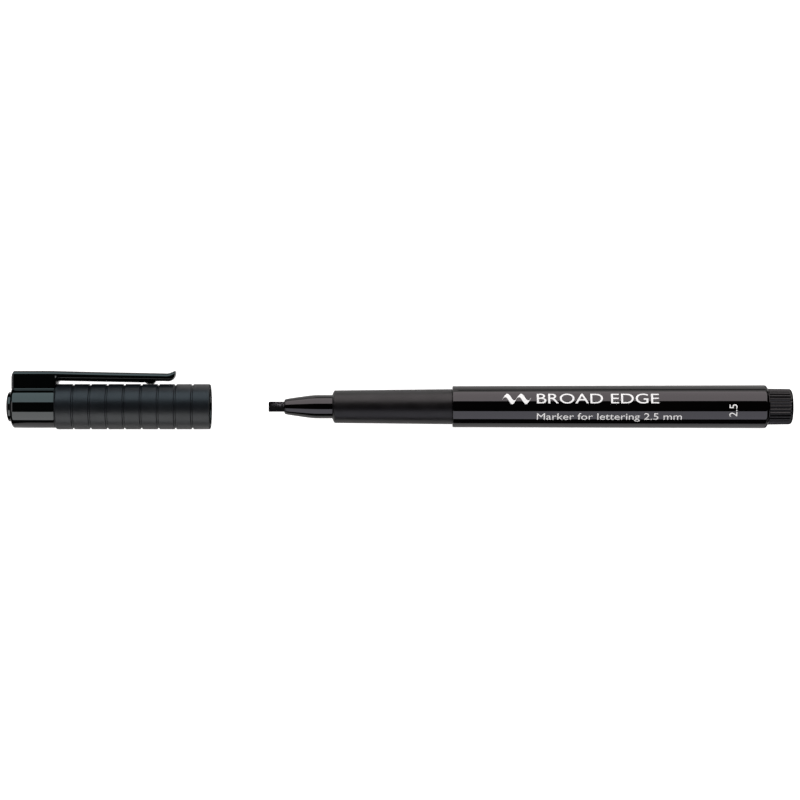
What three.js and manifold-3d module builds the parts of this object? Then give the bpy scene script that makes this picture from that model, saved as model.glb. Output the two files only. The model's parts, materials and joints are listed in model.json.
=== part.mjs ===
// Calligraphy marker: a chisel-nib fibre-tip pen that lies on its side, with its cap pulled straight off the nib.
//
// Millimetres, +Z up. X is the axis of the pen and of the cap, and +X points out of the rear plug's flat end,
// which is the origin. The nib points along -X, the cap lies in front of it with its mouth towards the nib,
// and the clip stands out of the cap along +Y.
//
// The pen is a group of its own, and so is the cap, whose frame starts at its mouth. The clip's arm is a group
// inside the cap's, placed at the arm's root, where it bends.
import * as THREE from "three";
import { mergeVertices } from "three/addons/utils/BufferGeometryUtils.js";
import Module from "manifold-3d";

const wasm = await Module();
wasm.setup();

// ---------------------------------------------------------------- driving dimensions

const facets = 40; // flats round a turned piece
const slip = 0.06; // gap between two turned pieces that nest

// Lengths along the pen, from the rear plug's end to the nib's edge.
const plugLength = 6.1;
const barrelLength = 80.55;
const gripLength = 30.65;
const coneLength = 12.25;
const nibReach = 4.05;

// Radii of the pen, front and rear.
const barrelRadius = { front: 5.27, rear: 5.5 };
const gripRadius = { front: 4.16, rear: 4.49 };
const coneRadius = { front: 1.98, rear: 3.0 };
const plugRadius = { front: 4.6, rear: 4.55 };
const barrelEnd = { length: 0.65, radius: 4.7 }; // the cone between the barrel's outside and the plug
const barrelBore = 4.3;
const gripBore = 3.45;

// The nib: a flat head that is ground to an edge, and a round stem.
const nib = { width: 2.6, thickness: 2.0, edge: 0.5, headLength: 13, stemRadius: 0.95, stemLength: 12.5 };

// The ink: a fibre rod in a film.
const reservoir = { radius: 3.2, filmRadius: 3.38, length: 98.5, stemHole: 4.5 };

// The rear plug's flutes.
const flute = { count: 30, depth: 0.22 };

// The cap, from its mouth to its closed end.
const capGap = 14.75; // clear length between the nib's edge and the cap's mouth
const sleeveLength = 39.6;
const crownLength = 11.2;
const domeHeight = 1.3;
const capRadius = { sleeve: 5.78, crown: 5.4, tube: 5.2, bore: 4.62, bead: 4.56 };
const groove = { count: 8, pitch: 4.335, width: 0.7, floor: 0.3, depth: 0.32 };

// The seal cup inside the cap.
const seal = { start: 30.9, length: 17.5, bore: 3.3, lip: 3.1, floor: 1.0 };

// The clip: heights are measured from the cap's axis.
const clip = {
  top: 9.11,
  tipTop: 9.16,
  blockWidth: 5.8,
  blockRound: 0.9,
  blockInset: 0.2, // from the crown's end to the block's
  armLength: 30.65,
  armWidth: { root: 5.5, tip: 4.2 },
  ribWidth: 3.0,
  rootGap: 0.2,
  padGap: 0.1,
};

// Places that follow from them.
const barrelRear = -plugLength;
const barrelFront = barrelRear - barrelLength;
const gripFront = barrelFront - gripLength;
const coneFront = gripFront - coneLength;
const nibEdge = coneFront - nibReach;
const capMouth = nibEdge - capGap;
const crownEnd = -(sleeveLength + crownLength); // in the cap's frame
const armRoot = -sleeveLength; // in the cap's frame

// ---------------------------------------------------------------- shapes

// A solid of revolution about X from [x, radius] points. The outer side is given from -X to +X. A profile that
// doesn't start on the axis is a ring, and is closed on itself.
function turned(profile) {
  const points = profile.map(([x, r]) => new THREE.Vector2(r, x));
  if (profile[0][1] > 0) points.push(points[0].clone());
  return new THREE.LatheGeometry(points, facets).rotateZ(-Math.PI / 2);
}

// A box from its two opposite corners.
function block([x0, y0, z0], [x1, y1, z1]) {
  return new THREE.BoxGeometry(x1 - x0, y1 - y0, z1 - z0).translate((x0 + x1) / 2, (y0 + y1) / 2, (z0 + z1) / 2);
}

// An outline in the XY plane, given a width along Z and centred on it.
function slab(outline, width) {
  const shape = new THREE.Shape(outline.map(([x, y]) => new THREE.Vector2(x, y)));
  return new THREE.ExtrudeGeometry(shape, { depth: width, bevelEnabled: false }).translate(0, 0, -width / 2);
}

// A three.js geometry as a solid that can be joined and cut.
function solid(geometry) {
  const bare = geometry.clone();
  bare.deleteAttribute("normal");
  bare.deleteAttribute("uv");
  const merged = mergeVertices(bare, 1e-4);
  return new wasm.Manifold(
    new wasm.Mesh({
      numProp: 3,
      vertProperties: new Float32Array(merged.attributes.position.array),
      triVerts: new Uint32Array(merged.index.array),
    }),
  );
}

// A solid as a three.js geometry.
function geometryOf(body) {
  const mesh = body.getMesh();
  const geometry = new THREE.BufferGeometry();
  geometry.setAttribute("position", new THREE.BufferAttribute(mesh.vertProperties, 3));
  geometry.setIndex(new THREE.BufferAttribute(mesh.triVerts, 1));
  geometry.computeVertexNormals();
  return geometry;
}

// A quarter of a round edge, as [x, radius] points from angle a to angle b in degrees, where 0 points along +X
// and 90 points away from the axis.
function roundEdge(x, r, size, a, b, steps = 3) {
  return Array.from({ length: steps + 1 }, (_, i) => {
    const angle = THREE.MathUtils.degToRad(a + ((b - a) * i) / steps);
    return [x + size * Math.cos(angle), r + size * Math.sin(angle)];
  });
}

// ---------------------------------------------------------------- the pen

// The barrel is an open tube. Six ribs in its bore keep the reservoir on the axis.
function barrelTube() {
  const edge = 0.25;
  const tube = turned([
    [barrelFront, barrelBore],
    ...roundEdge(barrelFront + edge, barrelRadius.front - edge, edge, 180, 90),
    [barrelRear - barrelEnd.length - 0.15, barrelRadius.rear],
    [barrelRear - barrelEnd.length + 0.05, barrelRadius.rear - 0.12],
    [barrelRear, barrelEnd.radius],
    [barrelRear, barrelBore],
  ]);
  const rib = { count: 6, thickness: 0.6, clear: 10 };
  let barrel = solid(tube);
  for (let i = 0; i < rib.count; i++) {
    const box = block(
      [barrelFront + rib.clear, reservoir.filmRadius + 0.1, -rib.thickness / 2],
      [barrelRear - rib.clear, barrelBore + 0.3, rib.thickness / 2],
    );
    barrel = barrel.add(solid(box.rotateX((i / rib.count) * 2 * Math.PI)));
  }
  return geometryOf(barrel);
}

// The grip section has a blunt cone in front, a thin front wall, which stops the nib holder's flange, and a
// spigot that plugs into the barrel.
const gripWall = 1.2;
const gripCone = { length: 0.45, radius: 3.92 };
const spigotLength = 9;
function gripSection() {
  const edge = 0.4;
  const hole = coneRadius.rear + slip;
  const shoulder = barrelFront - 0.05;
  const spigot = barrelBore - slip;
  return turned([
    [gripFront, hole],
    [gripFront + gripCone.length, gripCone.radius],
    ...roundEdge(gripFront + gripCone.length + edge, gripRadius.front - edge, edge, 150, 90),
    [shoulder, gripRadius.rear],
    [shoulder, spigot],
    [barrelFront + spigotLength - 0.3, spigot],
    [barrelFront + spigotLength, spigot - 0.3],
    [barrelFront + spigotLength, gripBore],
    [gripFront + gripWall, gripBore],
    [gripFront + gripWall, hole],
  ]);
}

// The nib holder is a cone that runs into a short cylinder, with a flange behind the grip section's front wall.
// The nib's head sits in a rectangular slot, its stem in a round hole, and two channels beside the head let
// air back to the reservoir.
function nibHolder() {
  const flangeFront = gripFront + gripWall + slip;
  const flangeEnd = flangeFront + 2.9;
  const taper = 7.0;
  const edge = 0.2;
  const outside = turned([
    [coneFront, 0],
    ...roundEdge(coneFront + edge, coneRadius.front - edge, edge, 180, 100),
    [coneFront + taper, coneRadius.rear - 0.06],
    [coneFront + taper + 1.4, coneRadius.rear],
    [flangeFront, coneRadius.rear],
    [flangeFront, gripBore - slip],
    [flangeEnd, gripBore - slip],
    [flangeEnd, 0],
  ]);
  const slot = { end: nibEdge + nib.headLength + 0.1, y: nib.width / 2 + 0.06, z: nib.thickness / 2 + 0.06 };
  const channel = { y: 0.25, z: slot.z + 0.3 };
  const past = 1;
  const slotBox = block([coneFront - past, -slot.y, -slot.z], [slot.end, slot.y, slot.z]);
  const channelBox = block([coneFront - past, -channel.y, -channel.z], [slot.end, channel.y, channel.z]);
  const stemHole = turned([
    [slot.end - past, 0],
    [slot.end - past, nib.stemRadius + 0.1],
    [flangeEnd + past, nib.stemRadius + 0.1],
    [flangeEnd + past, 0],
  ]);
  return geometryOf(solid(outside).subtract(solid(slotBox)).subtract(solid(channelBox)).subtract(solid(stemHole)));
}

// The nib's head is as wide as the line that it writes, and its two broad faces are ground to a straight edge.
function chiselNib() {
  const bevelLength = 3.4;
  const full = nib.thickness / 2;
  const headEnd = nibEdge + nib.headLength;
  const side = [
    [nibEdge, -nib.edge / 2],
    [nibEdge + bevelLength, -full],
    [headEnd, -full],
    [headEnd, full],
    [nibEdge + bevelLength, full],
    [nibEdge, nib.edge / 2],
  ];
  const head = slab(side, nib.width).rotateX(Math.PI / 2);
  const stem = turned([
    [headEnd - 1, 0],
    [headEnd - 1, nib.stemRadius],
    [headEnd + nib.stemLength - 0.4, nib.stemRadius],
    [headEnd + nib.stemLength, nib.stemRadius - 0.3],
    [headEnd + nib.stemLength, 0],
  ]);
  return geometryOf(solid(head).add(solid(stem)));
}

// The reservoir runs from the nib holder to the rear plug, and the nib's stem stands in its front end.
const reservoirRear = barrelRear - 7.3;
const reservoirFront = reservoirRear - reservoir.length;
function inkReservoir() {
  const hole = nib.stemRadius + 0.1;
  return turned([
    [reservoirFront + reservoir.stemHole, 0],
    [reservoirFront + reservoir.stemHole, hole],
    [reservoirFront, hole],
    [reservoirFront, reservoir.radius],
    [reservoirRear, reservoir.radius],
    [reservoirRear, 0],
  ]);
}

function reservoirFilm() {
  const inside = reservoir.radius + 0.03;
  return turned([
    [reservoirFront, inside],
    [reservoirFront, reservoir.filmRadius],
    [reservoirRear, reservoir.filmRadius],
    [reservoirRear, inside],
  ]);
}

// The rear plug has a fluted head, which the cap can be pushed onto, and a hollow spigot in the barrel.
function rearPlug() {
  const edge = 1.0;
  const spigot = barrelBore - slip;
  const spigotEnd = barrelRear - 7;
  const core = { radius: 2.8, end: -3 };
  const headFront = barrelRear + 0.05;
  const body = turned([
    [spigotEnd, core.radius],
    [spigotEnd, spigot - 0.4],
    [spigotEnd + 0.4, spigot],
    [headFront, spigot],
    [headFront, plugRadius.front],
    ...roundEdge(-edge, plugRadius.rear - edge, edge, 90, 0),
    [0, 0],
    [core.end, 0],
    [core.end, core.radius],
  ]);
  const outline = [];
  for (let i = 0; i < flute.count; i++) {
    for (const [share, depth] of [[0, flute.depth], [0.3, 0], [0.5, 0], [0.8, flute.depth]]) {
      const angle = ((i + share) / flute.count) * 2 * Math.PI;
      const r = plugRadius.front + 0.02 - depth;
      outline.push([r * Math.cos(angle), r * Math.sin(angle)]);
    }
  }
  const past = 20;
  const fluted = slab(outline, 2 * past).rotateY(Math.PI / 2);
  return geometryOf(solid(body).intersect(solid(fluted)));
}

// ---------------------------------------------------------------- the cap, in its own frame

// The cap's shell is one moulding: a thin tube under the sleeve, the crown with a hole for the end plug,
// and the block that carries the clip's arm.
const endWall = 1.5;
const plugHole = 3.06;
function capShell() {
  const crownRound = 0.9;
  const bead = { at: -1.6, half: 0.35 };
  const shell = turned([
    [crownEnd, plugHole],
    ...roundEdge(crownEnd + crownRound, capRadius.crown - crownRound, crownRound, 180, 90),
    [armRoot, capRadius.crown],
    [armRoot, capRadius.tube],
    [-0.5, capRadius.tube],
    [-0.15, capRadius.tube - 0.25],
    [-0.15, capRadius.bore + 0.15],
    [-0.4, capRadius.bore],
    [bead.at + bead.half, capRadius.bore],
    [bead.at, capRadius.bead],
    [bead.at - bead.half, capRadius.bore],
    [crownEnd + endWall, capRadius.bore],
    [crownEnd + endWall, plugHole],
  ]);
  const section = new THREE.Shape();
  const half = clip.blockWidth / 2;
  const round = clip.blockRound;
  section.moveTo(-half, 3.8);
  section.lineTo(half, 3.8);
  section.lineTo(half, clip.top - round);
  section.absarc(half - round, clip.top - round, round, 0, Math.PI / 2, false);
  section.lineTo(-half + round, clip.top);
  section.absarc(-half + round, clip.top - round, round, Math.PI / 2, Math.PI, false);
  const start = crownEnd + clip.blockInset;
  const length = armRoot - start;
  const bar = new THREE.ExtrudeGeometry(section, { depth: length, bevelEnabled: false, curveSegments: 4 });
  bar.rotateY(Math.PI / 2).translate(start, 0, 0);
  const bore = turned([
    [crownEnd + endWall, 0],
    [crownEnd + endWall, capRadius.bore],
    [armRoot + 1, capRadius.bore],
    [armRoot + 1, 0],
  ]);
  return geometryOf(solid(bar).subtract(solid(bore)).add(solid(shell)));
}

// The sleeve covers the shell's tube, and its grooves give the fingers a hold.
function capSleeve() {
  const edge = 0.35;
  const inside = capRadius.tube + slip / 2;
  const outside = capRadius.sleeve;
  const first = -sleeveLength / 2 - ((groove.count - 1) / 2) * groove.pitch;
  const grooves = [];
  for (let i = 0; i < groove.count; i++) {
    const x = first + i * groove.pitch;
    grooves.push(
      [x - groove.width / 2, outside],
      [x - groove.floor / 2, outside - groove.depth],
      [x + groove.floor / 2, outside - groove.depth],
      [x + groove.width / 2, outside],
    );
  }
  return turned([
    [armRoot + 0.05, inside],
    ...roundEdge(armRoot + 0.05 + edge, outside - edge, edge, 180, 90, 2),
    ...grooves,
    ...roundEdge(-edge, outside - edge, edge, 90, 0, 2),
    [0, inside],
  ]);
}

// The seal is a cup deep in the cap. Its lip closes round the nib holder's cylinder.
function capSeal() {
  const mouth = -seal.start;
  const end = mouth - seal.length;
  const outside = capRadius.bore - slip;
  return turned([
    [end, 0],
    [end, outside - 0.4],
    [end + 0.4, outside],
    [mouth, outside],
    [mouth, seal.lip + 0.5],
    [mouth - 0.4, seal.lip],
    [mouth - 1.0, seal.lip],
    [mouth - 1.4, seal.bore],
    [end + seal.floor, seal.bore],
    [end + seal.floor, 0],
  ]);
}

// The end plug is a low domed disc on the crown, with a spigot through the crown's end wall.
function capEndPlug() {
  const head = { radius: 3.83, edge: 0.6 };
  const spigotEnd = crownEnd + endWall + 0.5;
  const seat = crownEnd - 0.05;
  const top = crownEnd - domeHeight;
  return turned([
    [top, 0],
    [top, head.radius - 1.6],
    [top + 0.12, head.radius - 0.7],
    [top + 0.4, head.radius - 0.2],
    [seat - 0.2, head.radius],
    [seat, head.radius],
    [seat, plugHole - slip],
    [spigotEnd - 0.3, plugHole - slip],
    [spigotEnd, plugHole - slip - 0.3],
    [spigotEnd, 0],
  ]);
}

// The clip's arm, in a frame at its root. A flange that narrows towards its upturned tip lies on a narrower rib,
// which ends in the pad that presses on the sleeve. Heights are above the cap's axis.
function clipArm() {
  const end = clip.armLength;
  const flange = [
    [clip.rootGap, 7.56],
    [25.3, 7.02],
    [25.4, 6.68],
    [end - 2.3, 6.7],
    [end - 1.7, 6.84],
    [end - 1.1, 7.2],
    [end - 0.6, 7.9],
    [end, 9.02],
    [end - 0.2, clip.tipTop],
    [end - 0.7, 9.0],
    [end - 1.5, 8.62],
    [end - 2.3, 8.43],
    [21.2, 8.56],
    [clip.rootGap, 9.05],
  ];
  const pad = { front: 23.2, back: 24.7, height: capRadius.sleeve + clip.padGap };
  const rib = [
    [clip.rootGap, 6.66],
    [22.4, 6.16],
    [22.8, 6.14],
    [pad.front, pad.height],
    [pad.back, pad.height],
    [25.4, 6.5],
    [25.4, 7.3],
    [clip.rootGap, 7.9],
  ];
  const root = clip.armWidth.root / 2;
  const tip = clip.armWidth.tip / 2;
  const plan = [
    [0, -root],
    [end + 1, -tip],
    [end + 1, tip],
    [0, root],
  ];
  const height = 10;
  const tapered = slab(plan, 2 * height).rotateX(Math.PI / 2).translate(0, height, 0);
  const arm = solid(slab(flange, clip.armWidth.root)).intersect(solid(tapered));
  return geometryOf(arm.add(solid(slab(rib, clip.ribWidth))));
}

// ---------------------------------------------------------------- the assembly

const finish = {
  glossBlack: { color: 0x0a0a0b, roughness: 0.12, metalness: 0 },
  mattBlack: { color: 0x1c1b1c, roughness: 0.55, metalness: 0 },
  grooved: { color: 0x1e1f22, roughness: 0.5, metalness: 0 },
  fibre: { color: 0x0c0c0d, roughness: 0.85, metalness: 0 },
  inkedFibre: { color: 0x101014, roughness: 0.95, metalness: 0 },
  film: { color: 0xd8dde2, roughness: 0.2, metalness: 0 },
  seal: { color: 0x2a2a2c, roughness: 0.4, metalness: 0 },
};

function piece(name, geometry, look) {
  const mesh = new THREE.Mesh(geometry, new THREE.MeshStandardMaterial(look));
  mesh.name = name;
  return mesh;
}

const pen = new THREE.Group();
pen.add(
  piece("barrel_tube", barrelTube(), finish.glossBlack),
  piece("grip_section", gripSection(), finish.mattBlack),
  piece("nib_holder", nibHolder(), finish.glossBlack),
  piece("chisel_nib", chiselNib(), finish.fibre),
  piece("ink_reservoir", inkReservoir(), finish.inkedFibre),
  piece("reservoir_film", reservoirFilm(), finish.film),
  piece("rear_plug", rearPlug(), finish.mattBlack),
);

const arm = new THREE.Group();
arm.position.x = armRoot;
arm.add(piece("clip_arm", clipArm(), finish.glossBlack));

const cap = new THREE.Group();
cap.position.x = capMouth;
cap.add(
  piece("cap_shell", capShell(), finish.glossBlack),
  piece("cap_sleeve", capSleeve(), finish.grooved),
  piece("cap_seal", capSeal(), finish.seal),
  piece("cap_end_plug", capEndPlug(), finish.glossBlack),
  arm,
);

const marker = new THREE.Group();
marker.add(pen, cap);

export default marker;
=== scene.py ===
# %% [markdown]
# # A calligraphy marker
#
# A chisel-nib marker lies on its side with its cap pulled off. Everything on it is moulded black plastic, so the
# shape is told by edges and reflections alone: polished parts show sharp strips of light, matt parts show soft
# ones. The lesson is how to get both right: true section curves, small real edge radii, and honest studio lights.
#
# The fixed frame gives the sizes, the bodies and the joints. Every new piece is worked out in metres in that
# frame, and all but the clip ride on the body that they belong to.

# %% The fixed frame
import json
import math

import bmesh
import bpy
import numpy as np
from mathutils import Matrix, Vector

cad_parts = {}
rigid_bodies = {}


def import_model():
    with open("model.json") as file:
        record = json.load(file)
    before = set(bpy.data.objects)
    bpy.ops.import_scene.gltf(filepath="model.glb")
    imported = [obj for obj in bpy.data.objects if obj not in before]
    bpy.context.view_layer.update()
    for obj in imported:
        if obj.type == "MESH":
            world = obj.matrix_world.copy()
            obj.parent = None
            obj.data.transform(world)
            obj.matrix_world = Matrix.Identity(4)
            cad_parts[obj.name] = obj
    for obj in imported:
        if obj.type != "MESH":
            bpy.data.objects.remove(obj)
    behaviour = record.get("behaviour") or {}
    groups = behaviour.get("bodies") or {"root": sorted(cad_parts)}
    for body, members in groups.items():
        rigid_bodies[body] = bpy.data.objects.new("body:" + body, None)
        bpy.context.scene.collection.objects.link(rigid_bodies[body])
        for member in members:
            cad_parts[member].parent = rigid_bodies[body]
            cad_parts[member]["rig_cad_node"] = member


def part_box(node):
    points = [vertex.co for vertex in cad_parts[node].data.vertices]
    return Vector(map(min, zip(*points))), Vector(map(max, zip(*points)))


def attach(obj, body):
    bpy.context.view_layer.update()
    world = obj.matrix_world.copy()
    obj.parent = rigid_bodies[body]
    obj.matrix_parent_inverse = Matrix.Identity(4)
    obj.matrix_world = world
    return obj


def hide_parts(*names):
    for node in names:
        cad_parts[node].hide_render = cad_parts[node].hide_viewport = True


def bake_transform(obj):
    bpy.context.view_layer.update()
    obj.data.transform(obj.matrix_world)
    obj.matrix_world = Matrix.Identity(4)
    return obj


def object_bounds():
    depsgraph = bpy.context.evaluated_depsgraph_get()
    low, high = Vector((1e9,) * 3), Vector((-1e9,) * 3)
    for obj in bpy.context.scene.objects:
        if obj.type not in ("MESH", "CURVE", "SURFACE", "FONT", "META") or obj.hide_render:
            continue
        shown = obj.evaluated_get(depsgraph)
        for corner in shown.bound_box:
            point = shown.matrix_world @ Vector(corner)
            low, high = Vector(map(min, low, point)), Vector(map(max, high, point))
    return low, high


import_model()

cad_low, cad_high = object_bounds()
mm = 0.001
print("size in mm:", [round(float(side) / mm, 2) for side in cad_high - cad_low])

# %% [markdown]
# ## Camera
#
# The marker is looked at from straight above, from about three quarters of a metre, with a long lens, which keeps
# the perspective mild. The camera is made first, since the lights are placed for what it sees.

# %% Camera
view_width = 204.3 * mm
camera_height = 740 * mm
off_centre_x, off_centre_y = 0.2 * mm, 0.02 * mm
camera_data = bpy.data.cameras.new("camera")
camera_data.sensor_width = 36.0
camera_data.lens = camera_data.sensor_width * camera_height / view_width
camera = bpy.data.objects.new("camera", camera_data)
bpy.context.collection.objects.link(camera)
middle_x, middle_y = (cad_low[0] + cad_high[0]) / 2, (cad_low[1] + cad_high[1]) / 2
camera.location = (middle_x + off_centre_x, middle_y + off_centre_y, camera_height)
bpy.context.scene.camera = camera
print("lens:", round(camera_data.lens, 1), "mm")

# %% [markdown]
# ## Helpers for shapes
#
# A pen is nearly all turned shapes, so two helpers do most of the work. The first rounds the corners of an
# outline with true arcs, because a moulded edge is never sharp and the thin bright line along it is what makes
# the part look solid. The second turns an outline about the pen's axis.


# %% Outlines with rounded corners
def rounded(corners, closed=True, steps=8):
    """Cuts each corner back by an arc tangent to both of its sides.

    A corner is (x, y, size). The arc's centre lies on the corner's bisector at size / sin(half angle), and its
    ends lie size / tan(half angle) from the corner. A corner of size 0 stays sharp.
    """
    corners = np.array(corners, float)
    count = len(corners)
    outline = []
    for i, (x, y, size) in enumerate(corners):
        here = np.array((x, y))
        if size == 0 or (not closed and i in (0, count - 1)):
            outline.append(here[None])
            continue
        before = corners[i - 1, :2] - here
        after = corners[(i + 1) % count, :2] - here
        before /= np.linalg.norm(before)
        after /= np.linalg.norm(after)
        half = math.acos(np.clip(before @ after, -1, 1)) / 2
        middle = (before + after) / np.linalg.norm(before + after)
        centre = here + middle * size / math.sin(half)
        share = np.linspace(-1, 1, steps + 1)[:, None] * (math.pi / 2 - half)
        across = before - (before @ middle) * middle
        across /= np.linalg.norm(across)
        outline.append(centre + size * (-middle * np.cos(share) - across * np.sin(share)))
    return np.concatenate(outline)


# %% Grids and turned shapes
merge_distance = 1e-8
sharp_angle = math.radians(50)


def mesh_object(name, vertices, faces, finish):
    """Puts arrays of vertices and faces into a mesh, merges what coincides and makes the faces agree."""
    mesh = bpy.data.meshes.new(name)
    mesh.from_pydata(vertices.tolist(), [], faces.tolist())
    made = bmesh.new()
    made.from_mesh(mesh)
    bmesh.ops.remove_doubles(made, verts=made.verts, dist=merge_distance)
    bmesh.ops.dissolve_degenerate(made, edges=made.edges, dist=merge_distance)
    bmesh.ops.recalc_face_normals(made, faces=made.faces)
    made.to_mesh(mesh)
    made.free()
    mesh.shade_smooth()
    mesh.set_sharp_from_angle(angle=sharp_angle)
    mesh.materials.append(finish)
    piece = bpy.data.objects.new(name, mesh)
    bpy.context.collection.objects.link(piece)
    print(f"{name}: {len(mesh.polygons)} faces")
    return piece


def grid_faces(rows, columns, close_rows):
    """Quads between neighbouring rows and columns of a grid whose point (i, j) has the number i * columns + j.

    Columns always close on themselves, rows only where asked.
    """
    i, j = np.meshgrid(np.arange(rows if close_rows else rows - 1), np.arange(columns), indexing="ij")
    down, right = (i + 1) % rows, (j + 1) % columns
    quads = np.stack([i * columns + j, down * columns + j, down * columns + right, i * columns + right], axis=-1)
    return quads.reshape(-1, 4)


def turned(name, outline, finish, sides, radius=None):
    """Turns an outline of (x, r) about the X axis: the point at angle a is (x, r cos a, r sin a).

    An outline that doesn't start on the axis is a ring and closes on itself. radius, where it is given, takes
    (x, r, a) and returns the radius there, which is how flutes are cut.
    """
    a = np.arange(sides) * 2 * math.pi / sides
    x, r = (np.repeat(column[:, None], sides, axis=1) for column in outline.T)
    if radius is not None:
        r = radius(x, r, a[None])
    vertices = np.stack([x, r * np.cos(a), r * np.sin(a)], axis=-1).reshape(-1, 3)
    ring = outline[0, 1] > 0
    return mesh_object(name, vertices, grid_faces(len(outline), sides, ring), finish)


def smooth_through(x, places, values):
    """A curve through named points: cubic Hermite, with each slope taken from the point's neighbours."""
    places, values = np.array(places), np.array(values)
    slopes = np.gradient(values, places)
    i = np.clip(np.searchsorted(places, x) - 1, 0, len(places) - 2)
    width = places[i + 1] - places[i]
    t = np.clip((x - places[i]) / width, 0, 1)
    ends = (1 + 2 * t) * (1 - t) ** 2 * values[i] + t * t * (3 - 2 * t) * values[i + 1]
    return ends + width * t * (1 - t) * ((1 - t) * slopes[i] - t * slopes[i + 1])


def capped(points):
    """Closes both ends of a tube of sections: one more section at each end, with all its points at the middle."""
    first = np.broadcast_to(points[0].mean(axis=0), points[0].shape)
    last = np.broadcast_to(points[-1].mean(axis=0), points[-1].shape)
    return np.concatenate([first[None], points, last[None]])


def reach(node):
    """The lowest x, the highest x and the radius of a turned CAD node."""
    low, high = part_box(node)
    return low[0], high[0], (high[2] - low[2]) / 2


# %% [markdown]
# ## Helpers for finishes
#
# Every finish here is one Principled shader with three layers of detail: a colour that drifts a little, a
# roughness that drifts, and a bump at the scale of the mould's surface. All three come from noise on Object
# coordinates, so nothing needs a UV map.


# %% Node helpers
class Nodes:
    """A material's node tree, with short ways to add a node and to join two sockets."""

    def __init__(self, name):
        self.material = bpy.data.materials.new(name)
        self.material.use_nodes = True
        print("finish:", name)
        self.tree = self.material.node_tree
        self.shader = self.tree.nodes["Principled BSDF"]
        self.place = self.add("ShaderNodeTexCoord").outputs["Object"]

    def add(self, kind, links=None, **settings):
        node = self.tree.nodes.new(kind)
        for key, value in settings.items():
            setattr(node, key, value)
        for key, value in (links or {}).items():
            if isinstance(value, bpy.types.NodeSocket):
                self.tree.links.new(value, node.inputs[key])
            else:
                node.inputs[key].default_value = value
        return node

    def noise(self, scale, detail=2.0, stretch=(1, 1, 1)):
        """Noise of about 1 / scale metres, drawn out along an axis where stretch is under 1."""
        moved = self.add("ShaderNodeMapping", {"Vector": self.place, "Scale": stretch}).outputs[0]
        return self.add("ShaderNodeTexNoise", {"Vector": moved, "Scale": scale, "Detail": detail}).outputs["Fac"]

    def between(self, value, low, high, start=0.3, end=0.7):
        """Carries a value from start..end over to low..high."""
        links = {"Value": value, "From Min": start, "From Max": end, "To Min": low, "To Max": high}
        return self.add("ShaderNodeMapRange", links).outputs["Result"]

    def mixed(self, share, first, second):
        """Mixes two colours."""
        links = {0: share, 6: (*first, 1), 7: (*second, 1)}
        return self.add("ShaderNodeMix", links, data_type="RGBA").outputs[2]

    def fixed(self, name, value):
        self.shader.inputs[name].default_value = value

    def colour(self, socket):
        self.tree.links.new(socket, self.shader.inputs["Base Color"])

    def roughness(self, socket):
        self.tree.links.new(socket, self.shader.inputs["Roughness"])

    def bumps(self, layers):
        """Stacks (height, distance in metres, strength) layers of bump, the coarsest first."""
        normal = None
        for height, distance, strength in layers:
            links = {"Height": height, "Distance": distance, "Strength": strength}
            if normal is not None:
                links["Normal"] = normal
            normal = self.add("ShaderNodeBump", links).outputs["Normal"]
        self.tree.links.new(normal, self.shader.inputs["Normal"])


# %% [markdown]
# ## Polished black plastic
#
# Nearly all that is seen on a polished black moulding is reflection. A plain glossy shader would look computed,
# so there is a long slow bump, the faint waviness of a thin moulding, and a haze of handling in the roughness.


# %% Polished black plastic
def polished(name, dark, light, roughness=0.025):
    """Mirror-like moulded plastic, with a haze of handling and a slow waviness."""
    made = Nodes(name)
    made.fixed("IOR", 1.5)
    made.colour(made.mixed(made.noise(90), dark, light))
    haze = made.noise(260, 4.0, (0.25, 1, 1))
    made.roughness(made.between(haze, roughness, roughness + 0.03))
    made.bumps([(made.noise(70, 1.0, (0.3, 1, 1)), 0.00002, 0.25), (made.noise(9000, 2.0), 0.0000008, 0.3)])
    return made.material


barrel_gloss = polished("barrel_gloss_black", (0.0005, 0.0004, 0.0004), (0.001, 0.0008, 0.0008))
cap_gloss = polished("cap_gloss_black", (0.0004, 0.0005, 0.0005), (0.0008, 0.001, 0.001))


# %% [markdown]
# ## Matt black plastic
#
# The grip, the cap's sleeve and the rear plug come out of spark-eroded moulds, whose grain spreads a reflection
# into a soft band. The grain is far too fine for the mesh, so it is bump: one layer at its own size and one three
# times finer.


# %% Matt black plastic
def matt(name, dark, light, roughness, grain, depth):
    """Moulded plastic with a spark-eroded grain, rubbed a little smoother in patches."""
    made = Nodes(name)
    made.fixed("IOR", 1.5)
    made.colour(made.mixed(made.noise(grain / 6, 3.0), dark, light))
    rubbed = made.noise(220, 3.0)
    made.roughness(made.between(rubbed, roughness - 0.05, roughness + 0.05))
    made.bumps([(made.noise(grain, 3.0), depth, 0.6), (made.noise(grain * 3, 1.0), depth / 3, 0.5)])
    return made.material


grip_matt = matt("grip_matt_black", (0.003, 0.0026, 0.0028), (0.006, 0.0052, 0.0056), 0.38, 5200, 0.00002)
sleeve_matt = matt("sleeve_matt_black", (0.005, 0.0055, 0.0065), (0.009, 0.0098, 0.0115), 0.38, 4200, 0.00003)
plug_matt = matt("plug_matt_black", (0.001, 0.001, 0.001), (0.002, 0.002, 0.002), 0.14, 6000, 0.000008)
seal_matt = matt("seal_soft_black", (0.010, 0.010, 0.010), (0.016, 0.016, 0.016), 0.5, 5000, 0.00001)

# %% [markdown]
# ## The barrel
#
# The barrel is a long tube that gets a little wider towards the rear, so that it leaves its mould. Its front edge
# is barely rounded. Its rear edge runs over a soft corner and down a short cone to the plug.

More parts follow.
